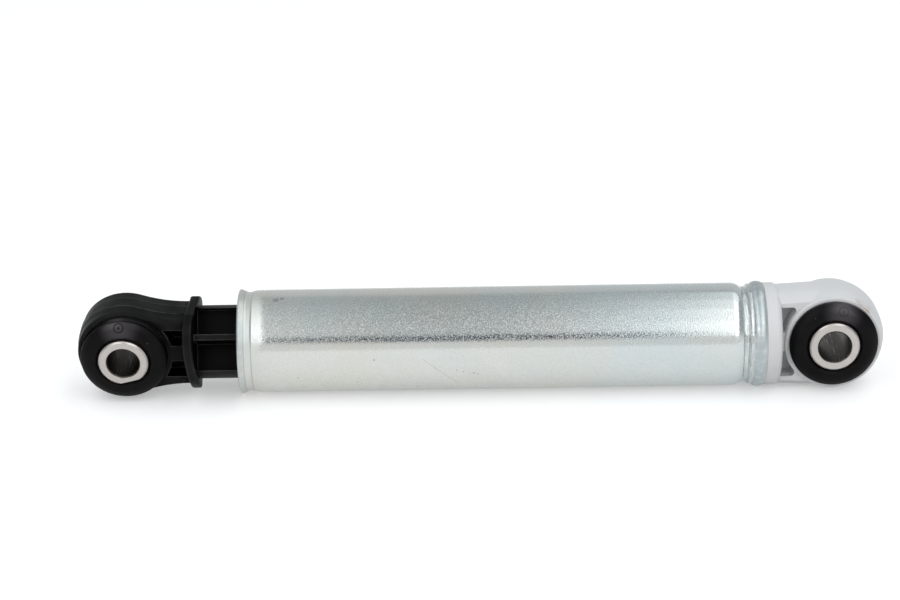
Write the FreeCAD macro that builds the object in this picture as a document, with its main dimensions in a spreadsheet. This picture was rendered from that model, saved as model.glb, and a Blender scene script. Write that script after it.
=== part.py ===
"""Washing machine shock absorber: a tubular friction damper with a rubber-bushed eye at each end.

Frame: origin in the middle of the tube's eye, X along the tube with the plunger towards -X,
Y along the bolt through the tube's eye, Z up. Millimetres. The damper lies on its side, almost closed.
"""
import FreeCAD, Part
import Sketcher
import math
import os
from types import SimpleNamespace

# Driving dimensions: name, value, what it measures
SIZES = (
    ("bore_dia", 8.0, "bolt hole through each sleeve"),
    ("sleeve_dia", 12.5, "outside of a sleeve"),
    ("sleeve_length", 20.0, "length of a sleeve"),
    ("sleeve_edge", 0.35, "chamfer on a sleeve's edges"),
    ("sleeve_flat", 5.45, "flat on the plunger's sleeve, from its axis"),
    ("sleeve_flat_length", 2.0, "length of that flat from the front end"),
    ("sleeve_flat_turn", 76.0, "direction that the flat faces, in degrees below +X"),
    ("slip", 0.05, "radial clearance of pieces that slide or seat in one another"),
    ("eye_span", 178.0, "distance between the two eyes, as it lies"),
    ("plunger_twist", 8.77, "turn of the plunger in the tube, as it lies, in degrees"),
    ("tube_dia", 26.0, "outside of the tube"),
    ("tube_wall", 1.0, "wall of the tube"),
    ("tube_length", 132.2, "length of the tube"),
    ("tube_setback", 17.0, "tube's steel end to the tube's eye"),
    ("lip_dia", 26.5, "flared lip at the mouth"),
    ("lip_round", 0.5, "rounding of the lip's edge"),
    ("lip_length", 2.2, "mouth to the bottom of the rolled-in neck"),
    ("neck_dia", 25.0, "outside of the rolled-in neck behind the lip"),
    ("neck_width", 1.0, "flat bottom of that neck"),
    ("neck_rise", 0.55, "length of its step up to the shoulder"),
    ("shoulder_dia", 25.54, "foot of the long round shoulder behind the neck"),
    ("shoulder_length", 4.0, "length of that shoulder up to the plain tube"),
    ("groove_setback", 5.65, "steel end to the start of the rolled groove's bottom"),
    ("groove_dia", 24.0, "bottom of the rolled groove"),
    ("groove_width", 0.95, "width of that bottom"),
    ("groove_shoulder", 2.55, "length of the round shoulder from the plain tube to the groove"),
    ("groove_flank", 0.65, "length of the groove's far flank"),
    ("ledge_dia", 25.4, "ledge between the groove and the end bead"),
    ("ledge_length", 0.75, "length of that ledge"),
    ("bead_end_dia", 25.9, "foot of the end bead at the steel end"),
    ("bead_height", 0.5, "height of the end bead over its two feet"),
    ("bead_edge", 0.2, "broken edge at the steel end"),
    ("plug_length", 12.0, "plug of the grey end inside the tube"),
    ("plug_lead", 0.6, "chamfer at the plug's inner end"),
    ("plug_core_dia", 17.0, "hollow in the plug"),
    ("plug_core_depth", 9.0, "depth of that hollow"),
    ("flange_dia", 25.8, "flange against the steel end"),
    ("flange_length", 2.2, "straight rim of the flange"),
    ("flange_round", 1.6, "rounding of the flange's outer corner"),
    ("end_rim_dia", 26.25, "grey eye over its middle band"),
    ("end_band_half", 1.9, "half width of that band"),
    ("end_edge_dia", 24.4, "grey eye at the foot of its raised ring"),
    ("end_neck_half", 6.1, "half depth of the grey neck and rim"),
    ("end_neck_height", 12.2, "half height of the grey neck at the flange"),
    ("end_neck_drop", 2.0, "drop of the grey neck's crown from its top to its front edge"),
    ("end_neck_step", 0.1, "step from the grey eye's rim down to the neck"),
    ("end_ring_half", 6.9, "half depth of the raised ring round the bush"),
    ("end_ring_round", 0.6, "rounding of that ring's edge"),
    ("end_bore_dia", 19.2, "hole for the bush in the grey eye"),
    ("end_seat", 1.5, "chamfered seat round that hole"),
    ("end_web_half", 1.3, "half thickness of the web between the pockets"),
    ("end_rail", 9.3, "pocket's edge at the rail, from the axis"),
    ("end_rib", 2.4, "pocket's edge at the middle, from the axis"),
    ("end_pocket_skin", 0.1, "wall left round the grey eye beside the pockets"),
    ("end_pocket_round", 1.0, "rounding of the pockets' corners at the eye"),
    ("end_bulge_dia", 22.4, "widest part of the bush in the grey eye"),
    ("end_bulge_half", 7.8, "half depth at that widest part"),
    ("rim_bulge_dia", 21.9, "widest part of the bush in the plunger's eye"),
    ("rim_bulge_half", 8.1, "half depth at that widest part"),
    ("bush_bulge_round", 0.5, "rounding of a bush's widest part"),
    ("bush_neck_dia", 19.8, "bottom of the groove behind a bush's bulge"),
    ("bush_sink", 0.6, "how far the bush stops short of the plunger's eye's face, in that groove"),
    ("bush_top_dia", 14.6, "crest of the bush's round face"),
    ("bush_top_half", 9.6, "half depth at the crest"),
    ("bush_lip_dia", 14.0, "edge of the recess round the sleeve"),
    ("bush_lip_drop", 0.15, "drop from the crest to that edge"),
    ("bush_recess", 0.9, "depth of that recess under the crest"),
    ("bush_back_half", 6.1, "half depth at the edge of the plunger bush's lower back"),
    ("bush_back_top", 8.0, "half depth at the crest of that back"),
    ("rim_dia", 24.4, "plunger's eye over its middle band"),
    ("rim_band", 3.8, "width of that band"),
    ("rim_half", 5.6, "half depth of the plunger's eye"),
    ("rim_draft", 3.4, "draft of the eye's outer wall, in degrees"),
    ("rim_round", 0.9, "rounding of the eye's front and back edge"),
    ("rim_bore_dia", 21.6, "hole for the bush in the plunger's eye"),
    ("rim_rib_dia", 19.4, "rib inside that hole, which holds the bush"),
    ("rim_rib_half", 2.5, "half width of that rib"),
    ("rim_wall", 1.2, "wall of the eye next to the pockets"),
    ("shank_half", 9.45, "half height of the neck behind the collar"),
    ("shank_reach", 15.9, "eye to the end of the neck's curve"),
    ("shank_bite", 1.0, "how far the neck runs into the collar"),
    ("shank_pocket_bite", 0.5, "how far the neck's pockets run into the collar"),
    ("shank_wall", 2.7, "top and bottom wall of the neck"),
    ("shank_rib_half", 2.2, "half thickness of the neck's middle block"),
    ("shank_web_half", 1.2, "half thickness of the neck's web"),
    ("collar_dia", 23.3, "stop collar"),
    ("collar_flat", 10.76, "flats at the collar's top and bottom, from the axis"),
    ("collar_at", 16.4, "eye to the collar"),
    ("collar_thick", 2.4, "thickness of the collar"),
    ("collar_bow", 1.4, "how far the collar's front and back are bent towards the eye"),
    ("collar_round", 0.5, "rounding of the collar's edges"),
    ("rod_dia", 18.6, "rod over its flanges"),
    ("rod_turn", -38.0, "turn of the rod's pockets about the rod, in degrees"),
    ("rod_flange", 7.9, "inside of the rod's flanges, from the middle"),
    ("rod_rib_half", 0.75, "half thickness of the rib along the middle"),
    ("rod_web_half", 1.2, "half thickness of the rod's web"),
    ("rod_bay", 18.0, "length of a pocket along the rod"),
    ("rod_cross_rib", 1.9, "cross rib between two pockets"),
    ("piston_dia", 23.4, "piston at the plunger's inner end"),
    ("piston_length", 20.0, "length of the piston"),
    ("piston_reach", 138.2, "eye to the piston's inner end"),
    ("piston_lead", 0.8, "chamfer on the piston's ends"),
    ("lining_bed_dia", 19.8, "bottom of the groove that holds the lining"),
    ("lining_bed_setback", 2.3, "piston's end to that groove"),
    ("lining_gap", 1.0, "gap where the lining's ends meet"),
    ("guide_start", 1.5, "mouth to the guide bush"),
    ("guide_length", 8.0, "length of the guide bush"),
    ("guide_slip", 0.08, "radial clearance of the rod in the guide bush"),
    ("guide_lead", 0.8, "chamfer at the guide bush's ends"),
)

ROD_BAYS = 5
FULL_TURN = 360.0
TOUCH = 0.01  # what lies this near to a place counts as lying there

doc = FreeCAD.newDocument("shock_absorber")
sheet = doc.addObject("Spreadsheet::Sheet", "Sizes")


class Size:
    """A length that keeps both its value and the sheet expression it comes from."""

    def __init__(self, value, text):
        self.value = value
        self.text = text

    def __add__(self, other):
        other = as_size(other)
        return Size(self.value + other.value, f"({self.text} + {other.text})")

    def __sub__(self, other):
        other = as_size(other)
        return Size(self.value - other.value, f"({self.text} - {other.text})")

    def __mul__(self, other):
        other = as_size(other)
        return Size(self.value * other.value, f"({self.text} * {other.text})")

    def __truediv__(self, other):
        other = as_size(other)
        return Size(self.value / other.value, f"({self.text} / {other.text})")

    def __neg__(self):
        return Size(-self.value, f"(0 - {self.text})")


def as_size(number):
    """A plain number as a Size."""
    if isinstance(number, Size):
        return number
    return Size(float(number), f"({float(number)})")


def root(size):
    """Square root of a Size."""
    return Size(math.sqrt(size.value), f"sqrt({size.text})")


def beside(radius, offset):
    """How far a circle of that radius reaches beside its middle, at that offset from it."""
    return root(radius * radius - offset * offset)


def round_over(half, height):
    """Radius of the arc that rises by height over a chord of twice half."""
    return (half * half + height * height) / (height * 2)


def fill_sheet():
    """Write the driving dimensions to the sheet and return them as Sizes."""
    for row, (name, value, note) in enumerate(SIZES, 1):
        sheet.set(f"A{row}", name)
        sheet.set(f"B{row}", str(value))
        sheet.set(f"C{row}", note)
        sheet.setAlias(f"B{row}", name)
    doc.recompute()
    return SimpleNamespace(**{name: Size(value, f"Sizes.{name}") for name, value, note in SIZES})


def new_body(node):
    """An empty body whose label is the node's name."""
    body = doc.addObject("PartDesign::Body", node)
    body.Label = node
    return body


def origin_feature(body, role):
    """One of the body's own origin planes or axes."""
    return next(item for item in body.Origin.OriginFeatures if item.Role == role)


def new_sketch(body, name, plane, offset=None, turn=None):
    """A sketch on one of the body's planes, turned about its own x and then moved along its normal."""
    sketch = body.newObject("Sketcher::SketchObject", name)
    sketch.AttachmentSupport = [(origin_feature(body, plane), "")]
    sketch.MapMode = "FlatFace"
    if turn is not None:
        sketch.AttachmentOffset = FreeCAD.Placement(
            FreeCAD.Vector(), FreeCAD.Rotation(FreeCAD.Vector(1, 0, 0), turn.value))
        sketch.setExpression("AttachmentOffset.Rotation.Angle", turn.text)
        sketch.setExpression("AttachmentOffset.Base.y", f"0 - {offset.text} * sin({turn.text})")
        sketch.setExpression("AttachmentOffset.Base.z", f"{offset.text} * cos({turn.text})")
    elif offset is not None:
        sketch.setExpression("AttachmentOffset.Base.z", offset.text)
    return sketch


def arc_between(start, end, radius):
    """Arc shorter than a half circle; a positive radius bends to the left of the way from start to end."""
    chord = end - start
    side = FreeCAD.Vector(-chord.y, chord.x, 0) / chord.Length
    rise = math.sqrt(max(radius * radius - chord.Length * chord.Length / 4, 0))
    centre = (start + end) / 2 + side * math.copysign(rise, radius)
    circle = Part.Circle(centre, FreeCAD.Vector(0, 0, 1), abs(radius))
    first, last = (start, end) if radius > 0 else (end, start)
    return Part.ArcOfCircle(circle, circle.parameter(first), circle.parameter(last))


def draw(sketch, corners):
    """Closed outline through corners (x, y), with a third value where an arc of that radius leads there."""
    points = [(as_size(corner[0]), as_size(corner[1])) for corner in corners]
    places = [FreeCAD.Vector(x.value, y.value, 0) for x, y in points]
    first = sketch.GeometryCount
    ends = []
    for index, corner in enumerate(corners):
        start, end = places[index - 1], places[index]
        if len(corner) == 2:
            sketch.addGeometry(Part.LineSegment(start, end), False)
            ends.append((1, 2))
        else:
            sketch.addGeometry(arc_between(start, end, corner[2].value), False)
            ends.append((1, 2) if corner[2].value > 0 else (2, 1))
    for index, corner in enumerate(corners):
        edge = first + index
        after = (index + 1) % len(corners)
        sketch.addConstraint(
            Sketcher.Constraint("Coincident", edge, ends[index][1], first + after, ends[after][0]))
        for kind, size in zip(("DistanceX", "DistanceY"), points[index]):
            place = Sketcher.Constraint(kind, -1, 1, edge, ends[index][1], size.value)
            number = sketch.addConstraint(place)
            sketch.setExpression(f"Constraints[{number}]", size.text)
        if len(corner) == 3:
            radius = corner[2] if corner[2].value > 0 else -corner[2]
            number = sketch.addConstraint(Sketcher.Constraint("Radius", edge, radius.value))
            sketch.setExpression(f"Constraints[{number}]", radius.text)
    return sketch


def draw_circle(sketch, diameter):
    """Circle about the sketch's origin."""
    circle = Part.Circle(FreeCAD.Vector(), FreeCAD.Vector(0, 0, 1), diameter.value / 2)
    edge = sketch.addGeometry(circle, False)
    sketch.addConstraint(Sketcher.Constraint("Coincident", edge, 3, -1, 1))
    number = sketch.addConstraint(Sketcher.Constraint("Diameter", edge, diameter.value))
    sketch.setExpression(f"Constraints[{number}]", diameter.text)
    return sketch


def revolve(body, name, plane, axis, corners, cut=False):
    """Turn an outline right round the sketch's own axis, as a solid or as a cut."""
    sketch = draw(new_sketch(body, name + "_outline", plane), corners)
    feature = body.newObject("PartDesign::Groove" if cut else "PartDesign::Revolution", name)
    feature.Profile = sketch
    feature.ReferenceAxis = (sketch, [axis])
    feature.Angle = FULL_TURN
    doc.recompute()
    return feature


def pad(body, name, sketch, length, symmetric=False):
    """Pad a sketch along its normal, or half to each side."""
    feature = body.newObject("PartDesign::Pad", name)
    feature.Profile = sketch
    feature.SideType = "Symmetric" if symmetric else "One side"
    feature.setExpression("Length", length.text)
    doc.recompute()
    return feature


def pocket(body, name, sketch, symmetric=False, depth=None):
    """Cut a sketch right through, outwards from its plane or to both sides, or inwards to a depth."""
    before = body.Shape.Volume
    feature = body.newObject("PartDesign::Pocket", name)
    feature.Profile = sketch
    feature.SideType = "Symmetric" if symmetric else "One side"
    if depth is None:
        feature.Type = "ThroughAll"
        feature.Reversed = not symmetric
    else:
        feature.Type = "Length"
        feature.setExpression("Length", depth.text)
    doc.recompute()
    if body.Shape.Volume >= before:
        raise RuntimeError(f"{name} cuts nothing")
    return feature


def half_turn(body, name, feature, axis):
    """Repeat a feature on the opposite side of one of the body's axes."""
    pattern = body.newObject("PartDesign::PolarPattern", name)
    pattern.Originals = [feature]
    pattern.Axis = (origin_feature(body, axis), [""])
    pattern.Angle = FULL_TURN
    pattern.Occurrences = 2
    body.Tip = pattern
    doc.recompute()
    return pattern


def soften(body, name, test, size, kind="Fillet"):
    """Fillet or chamfer the tip's edges whose boxes pass the test."""
    tip = body.Tip
    names = [f"Edge{number}" for number, edge in enumerate(tip.Shape.Edges, 1) if test(edge.BoundBox)]
    feature = body.newObject("PartDesign::" + kind, name)
    feature.Base = (tip, names)
    feature.setExpression("Radius" if kind == "Fillet" else "Size", size.text)
    doc.recompute()
    return feature


def lies_at(low, high, *places):
    """Whether a box's span from low to high lies at one of the places."""
    return any(abs(low - place.value) < TOUCH and abs(high - place.value) < TOUCH for place in places)


def place_on_plunger(body):
    """Put a body that is drawn about the plunger's eye at that eye, turned with the plunger."""
    body.Placement = FreeCAD.Placement(
        FreeCAD.Vector(-d.eye_span.value, 0, 0),
        FreeCAD.Rotation(FreeCAD.Vector(1, 0, 0), d.plunger_twist.value))
    body.setExpression("Placement.Base.x", (-d.eye_span).text)
    body.setExpression("Placement.Rotation.Angle", d.plunger_twist.text)


d = fill_sheet()
tube_r = d.tube_dia / 2
inner_r = tube_r - d.tube_wall
steel_end = -d.tube_setback
mouth = steel_end - d.tube_length
neck_r = d.neck_dia / 2
lip_r = d.lip_dia / 2
neck_from = mouth + d.lip_length
neck_to = neck_from + d.neck_width
shoulder_from = neck_to + d.neck_rise
shoulder_r = d.shoulder_dia / 2
tube_from = shoulder_from + d.shoulder_length
groove_r = d.groove_dia / 2
groove_from = steel_end - d.groove_setback
groove_to = groove_from + d.groove_width
tube_to = groove_from - d.groove_shoulder
ledge_r = d.ledge_dia / 2
ledge_from = groove_to + d.groove_flank
bead_from = ledge_from + d.ledge_length
bead_to = steel_end - d.bead_edge
bead_end_r = d.bead_end_dia / 2
sleeve_r = d.sleeve_dia / 2
bush_bore_r = sleeve_r + d.slip


def damper_tube():
    """Steel tube: flared mouth with a rolled-in neck, plain wall, rolled groove and end bead."""
    bead_run = bead_to - bead_from
    bead_rise = bead_end_r - ledge_r
    bead_half = root(bead_run * bead_run + bead_rise * bead_rise) / 2
    formed = [
        (neck_from, neck_r),
        (neck_to, neck_r),
        (shoulder_from, shoulder_r),
        (tube_from, tube_r, -round_over(d.shoulder_length, tube_r - shoulder_r)),
        (tube_to, tube_r),
        (groove_from, groove_r, -round_over(d.groove_shoulder, tube_r - groove_r)),
        (groove_to, groove_r),
        (ledge_from, ledge_r),
        (bead_from, ledge_r),
    ]
    lip = [(mouth, lip_r - d.lip_round), (mouth + d.lip_round, lip_r, -d.lip_round)]
    bead_crown = -round_over(bead_half, d.bead_height)
    bead = [(bead_to, bead_end_r, bead_crown), (steel_end, bead_end_r - d.bead_edge)]
    inside_of = [(steel_end, tube_r)] + [corner[:2] for corner in formed[::-1]] + [(mouth, lip_r)]
    outside = lip + formed + bead
    inside = [(x, radius - d.tube_wall) for x, radius in inside_of]
    body = new_body("damper_tube")
    revolve(body, "tube_wall", "XZ_Plane", "H_Axis", outside + inside)
    return body


def tube_end_eye():
    """Grey moulded end: hollow plug and flange, crowned neck with four pockets, and the eye."""
    body = new_body("tube_end_eye")
    plug_r = inner_r - d.slip
    flange_r = d.flange_dia / 2
    flange_to = steel_end + d.flange_length + d.flange_round
    plug_from = steel_end - d.plug_length
    core_to = plug_from + d.plug_core_depth
    wall = d.tube_wall + d.slip
    revolve(body, "plug", "XZ_Plane", "H_Axis", [
        (plug_from, d.plug_core_dia / 2),
        (plug_from, plug_r - d.plug_lead),
        (plug_from + d.plug_lead, plug_r),
        (tube_to, plug_r),
        (groove_from, groove_r - wall),
        (groove_to, groove_r - wall),
        (ledge_from, ledge_r - wall),
        (bead_from, ledge_r - wall),
        (steel_end, plug_r),
        (steel_end, flange_r),
        (steel_end + d.flange_length, flange_r),
        (flange_to, flange_r - d.flange_round, -d.flange_round),
        (flange_to, 0),
        (core_to, 0),
        (core_to, d.plug_core_dia / 2),
    ])

    rim_r = d.end_rim_dia / 2
    edge_r = d.end_edge_dia / 2
    crown_run = d.end_neck_half - d.end_band_half
    crown_drop = rim_r - edge_r
    crown_r = round_over(crown_run, crown_drop)
    ring_r = edge_r - d.end_ring_round
    revolve(body, "eye", "XY_Plane", "V_Axis", [
        (0, -d.end_ring_half),
        (ring_r, -d.end_ring_half),
        (edge_r, d.end_ring_round - d.end_ring_half, d.end_ring_round),
        (edge_r, -d.end_neck_half),
        (rim_r, -d.end_band_half, crown_r),
        (rim_r, d.end_band_half),
        (edge_r, d.end_neck_half, crown_r),
        (edge_r, d.end_ring_half - d.end_ring_round),
        (ring_r, d.end_ring_half, d.end_ring_round),
        (0, d.end_ring_half),
    ])

    neck_crown_r = round_over(crown_run, d.end_neck_drop)
    sections = []
    for name, reach, height in (("neck_at_eye", as_size(0), rim_r - d.end_neck_step),
                                ("neck_at_flange", steel_end + d.flange_length, d.end_neck_height)):
        foot = height - d.end_neck_drop
        section = new_sketch(body, name, "YZ_Plane", offset=reach)
        sections.append(draw(section, [
            (-d.end_neck_half, -foot),
            (-d.end_band_half, -height, neck_crown_r),
            (d.end_band_half, -height),
            (d.end_neck_half, -foot, neck_crown_r),
            (d.end_neck_half, foot),
            (d.end_band_half, height, neck_crown_r),
            (-d.end_band_half, height),
            (-d.end_neck_half, foot, neck_crown_r),
        ]))
    doc.recompute()
    neck = body.newObject("PartDesign::AdditiveLoft", "neck")
    neck.Profile = sections[0]
    neck.Sections = [sections[1]]
    doc.recompute()

    hole = draw_circle(new_sketch(body, "bush_hole_outline", "XZ_Plane"), d.end_bore_dia)
    pocket(body, "bush_hole", hole, symmetric=True)

    def is_hole_edge(box):
        on_face = lies_at(box.YMin, box.YMax, d.end_ring_half, -d.end_ring_half)
        return on_face and lies_at(box.XMax, box.XMax, d.end_bore_dia / 2)

    soften(body, "bush_seat", is_hole_edge, d.end_seat, "Chamfer")

    pockets = new_sketch(body, "neck_pockets_outline", "XZ_Plane", offset=d.end_web_half)
    wall_r = edge_r + d.end_pocket_skin
    corner_reach = wall_r + d.end_pocket_round
    corner_x = -beside(corner_reach, d.end_rail - d.end_pocket_round)
    corner_z = d.end_rail - d.end_pocket_round
    for side in (1, -1):
        draw(pockets, [
            (flange_to, d.end_rail * side),
            (flange_to, d.end_rib * side),
            (-beside(wall_r, d.end_rib), d.end_rib * side),
            (corner_x * wall_r / corner_reach, corner_z * wall_r / corner_reach * side, wall_r * -side),
            (corner_x, d.end_rail * side, d.end_pocket_round * side),
        ])
    half_turn(body, "back_pockets", pocket(body, "front_pockets", pockets), "X_Axis")
    return body


def tube_eye_bush():
    """Fat rubber bush in the grey eye: a waist in the hole and a round bulge on each face."""
    body = new_body("tube_eye_bush")
    waist_r = d.end_bore_dia / 2 - d.slip
    seat_from = d.end_ring_half - d.end_seat + d.slip
    neck_r = d.bush_neck_dia / 2
    foot = [(waist_r, seat_from), (neck_r, seat_from + neck_r - waist_r)]
    face = foot + bush_face(d.end_bulge_dia / 2, d.end_bulge_half, d.bush_top_half)
    revolve(body, "bush", "XY_Plane", "V_Axis", face + mirrored_face(face))
    round_bulge(body, d.end_bulge_half)
    return body


def bush_face(edge_r, edge_half, top_half):
    """A bush's face from its widest edge over the round crest to the recess round the sleeve."""
    top_r = d.bush_top_dia / 2
    return [
        (edge_r, edge_half),
        (top_r, top_half, round_over(edge_r - top_r, top_half - edge_half)),
        (d.bush_lip_dia / 2, top_half - d.bush_lip_drop),
        (bush_bore_r, top_half - d.bush_recess),
    ]


def round_bulge(body, half):
    """Round a bush over its widest part."""
    def is_widest(box):
        return lies_at(box.YMin, box.YMax, half, -half)

    soften(body, "bulge_edges", is_widest, d.bush_bulge_round)


def mirrored_face(face):
    """The same face of a bush on its other side, in the order that closes the outline."""
    corners = []
    for index in range(len(face) - 1, -1, -1):
        radius, half = face[index][:2]
        lead = face[index + 1][2:] if index + 1 < len(face) else ()
        corners.append((radius, -half) + lead)
    return corners


def sleeve(node):
    """Steel sleeve with chamfered edges, about its own Y."""
    body = new_body(node)
    bore_r = d.bore_dia / 2
    half = d.sleeve_length / 2
    edge = d.sleeve_edge
    corners = []
    for side in (-1, 1):
        end = [(bore_r, (half - edge) * side), (bore_r + edge, half * side),
               (sleeve_r - edge, half * side), (sleeve_r, (half - edge) * side)]
        corners += end if side < 0 else end[::-1]
    revolve(body, "sleeve_wall", "XY_Plane", "V_Axis", corners)
    return body


def plunger_eye_sleeve():
    """The plunger's sleeve, with a flat cut on its front end."""
    body = sleeve("plunger_eye_sleeve")
    half = d.sleeve_length / 2
    outline = new_sketch(body, "flat_outline", "YZ_Plane", offset=d.sleeve_flat, turn=d.sleeve_flat_turn)
    draw(outline, [
        (-half - d.slip, -sleeve_r),
        (d.sleeve_flat_length - half, -sleeve_r),
        (d.sleeve_flat_length - half, sleeve_r),
        (-half - d.slip, sleeve_r),
    ])
    pocket(body, "flat", outline)
    place_on_plunger(body)
    return body


def guide_bush():
    """Plastic guide ring that the rolled-in neck of the tube holds."""
    body = new_body("guide_bush")
    front = mouth + d.guide_start
    back = front + d.guide_length
    cone_drop = (lip_r - neck_r) * d.guide_start / d.lip_length
    rod_bore_r = d.rod_dia / 2 + d.guide_slip
    lead = d.guide_lead
    wall = d.tube_wall + d.slip
    revolve(body, "guide", "XZ_Plane", "H_Axis", [
        (front, rod_bore_r + lead),
        (front, lip_r - cone_drop - wall),
        (neck_from, neck_r - wall),
        (neck_to, neck_r - wall),
        (shoulder_from, shoulder_r - wall),
        (tube_from, tube_r - wall),
        (back, tube_r - wall),
        (back, rod_bore_r + lead),
        (back - lead, rod_bore_r),
        (front + lead, rod_bore_r),
    ])
    return body


def plunger():
    """Black moulding: banded eye, curved neck with pockets, collar, ribbed rod and piston in one piece."""
    body = new_body("plunger")
    plunger_eye(body)
    plunger_collar(body)
    plunger_rod(body)
    place_on_plunger(body)
    return body


def plunger_eye(body):
    """Eye and neck: one outline, as a straight middle band and as a drafted wall on both sides."""
    rim_r = d.rim_dia / 2
    sweep_r = (d.shank_reach * d.shank_reach + d.shank_half * d.shank_half - rim_r * rim_r) / (
        (rim_r - d.shank_half) * 2)
    reach = rim_r + sweep_r
    touch_x = rim_r * d.shank_reach / reach
    touch_z = rim_r * (d.shank_half + sweep_r) / reach
    neck_to = d.collar_at + d.shank_bite
    pockets_to = d.collar_at + d.shank_pocket_bite
    outline = draw(new_sketch(body, "eye_and_neck_outline", "XZ_Plane"), [
        (neck_to, -d.shank_half),
        (neck_to, d.shank_half),
        (d.shank_reach, d.shank_half),
        (touch_x, touch_z, -sweep_r),
        (-rim_r, 0, rim_r),
        (touch_x, -touch_z, rim_r),
        (d.shank_reach, -d.shank_half, -sweep_r),
    ])
    doc.recompute()
    walls = body.newObject("PartDesign::Pad", "drafted_wall")
    walls.Profile = outline
    walls.SideType = "Two sides"
    for length, taper in (("Length", "TaperAngle"), ("Length2", "TaperAngle2")):
        walls.setExpression(length, d.rim_half.text)
        walls.setExpression(taper, (-d.rim_draft).text)
    doc.recompute()

    def is_rim_edge(box):
        before_collar = box.XMin < d.collar_at.value - d.rim_round.value
        return before_collar and lies_at(box.YMin, box.YMax, d.rim_half, -d.rim_half)

    soften(body, "rim_edges", is_rim_edge, d.rim_round)
    pad(body, "middle_band", outline, d.rim_band, symmetric=True)

    hole_r = d.rim_bore_dia / 2
    clear = d.rim_half * 2
    revolve(body, "bush_hole", "XY_Plane", "V_Axis", [
        (0, -clear),
        (hole_r, -clear),
        (hole_r, -d.rim_rib_half),
        (d.rim_rib_dia / 2, -d.rim_rib_half),
        (d.rim_rib_dia / 2, d.rim_rib_half),
        (hole_r, d.rim_rib_half),
        (hole_r, clear),
        (0, clear),
    ], cut=True)

    ring_r = hole_r + d.rim_wall
    pocket_top = d.shank_half - d.shank_wall
    pockets = new_sketch(body, "neck_pockets_outline", "XZ_Plane", offset=d.shank_web_half)
    for side in (1, -1):
        low = d.shank_rib_half * side
        high = pocket_top * side
        bend = ring_r if side > 0 else -ring_r
        draw(pockets, [
            (pockets_to, low),
            (pockets_to, high),
            (beside(ring_r, pocket_top), high),
            (beside(ring_r, d.shank_rib_half), low, -bend),
        ])
    half_turn(body, "back_neck_pockets", pocket(body, "front_neck_pockets", pockets), "X_Axis")


def plunger_collar(body):
    """Stop collar: a thick disc with a flat at top and bottom, its front and back bent towards the eye."""
    collar_r = d.collar_dia / 2
    bow_r = round_over(collar_r, d.collar_bow)
    collar_to = d.collar_at + d.collar_thick
    strip = new_sketch(body, "collar_strip_outline", "XY_Plane", offset=as_size(0), turn=d.rod_turn)
    draw(strip, [
        (d.collar_at - d.collar_bow, collar_r),
        (d.collar_at, 0, -bow_r),
        (d.collar_at - d.collar_bow, -collar_r, -bow_r),
        (collar_to - d.collar_bow, -collar_r),
        (collar_to, 0, bow_r),
        (collar_to - d.collar_bow, collar_r, bow_r),
    ])
    doc.recompute()
    pad(body, "collar_strip", strip, d.collar_dia, symmetric=True)

    flat_half = beside(collar_r, d.collar_flat)
    around = new_sketch(body, "collar_outline", "YZ_Plane", offset=collar_to)
    draw_circle(around, d.collar_dia * 2)
    draw(around, [
        (-flat_half, d.collar_flat),
        (-collar_r, 0, collar_r),
        (-flat_half, -d.collar_flat, collar_r),
        (flat_half, -d.collar_flat),
        (collar_r, 0, collar_r),
        (flat_half, d.collar_flat, collar_r),
    ])
    doc.recompute()
    pocket(body, "collar_rim", around, depth=d.collar_thick + d.collar_bow)

    def is_collar_edge(box):
        behind_bow = box.XMin > (d.collar_at - d.collar_bow).value - TOUCH
        in_collar = behind_bow and box.XMax < collar_to.value + TOUCH
        across = max(box.YLength, box.ZLength) > d.collar_thick.value
        return in_collar and across and max(-box.ZMin, box.ZMax) > d.collar_flat.value - TOUCH

    soften(body, "collar_edges", is_collar_edge, d.collar_round)


def plunger_rod(body):
    """Round rod with pockets from both sides, and the piston with the bed for its lining."""
    rod_r = d.rod_dia / 2
    rod_from = d.collar_at + d.collar_thick / 2
    piston_r = d.piston_dia / 2
    piston_from = d.piston_reach - d.piston_length
    bed_from = piston_from + d.lining_bed_setback
    bed_to = d.piston_reach - d.lining_bed_setback
    bed_r = d.lining_bed_dia / 2
    lead = d.piston_lead
    revolve(body, "rod", "XZ_Plane", "H_Axis", [
        (rod_from, 0),
        (rod_from, rod_r),
        (piston_from, rod_r),
        (piston_from, piston_r - lead),
        (piston_from + lead, piston_r),
        (bed_from, piston_r),
        (bed_from, bed_r),
        (bed_to, bed_r),
        (bed_to, piston_r),
        (d.piston_reach - lead, piston_r),
        (d.piston_reach, piston_r - lead),
        (d.piston_reach, 0),
    ])
    pockets = new_sketch(body, "rod_pockets_outline", "XZ_Plane", offset=d.rod_web_half, turn=d.rod_turn)
    bend = rod_r / (d.collar_dia / 2)
    first_bay = d.collar_at + d.collar_thick - d.collar_bow * bend * bend
    for bay in range(ROD_BAYS):
        bay_from = first_bay + (d.rod_bay + d.rod_cross_rib) * bay
        bay_to = bay_from + d.rod_bay
        for side in (1, -1):
            low = d.rod_rib_half * side
            high = d.rod_flange * side
            draw(pockets, [(bay_from, low), (bay_to, low), (bay_to, high), (bay_from, high)])
    half_turn(body, "back_rod_pockets", pocket(body, "front_rod_pockets", pockets), "X_Axis")


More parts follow.
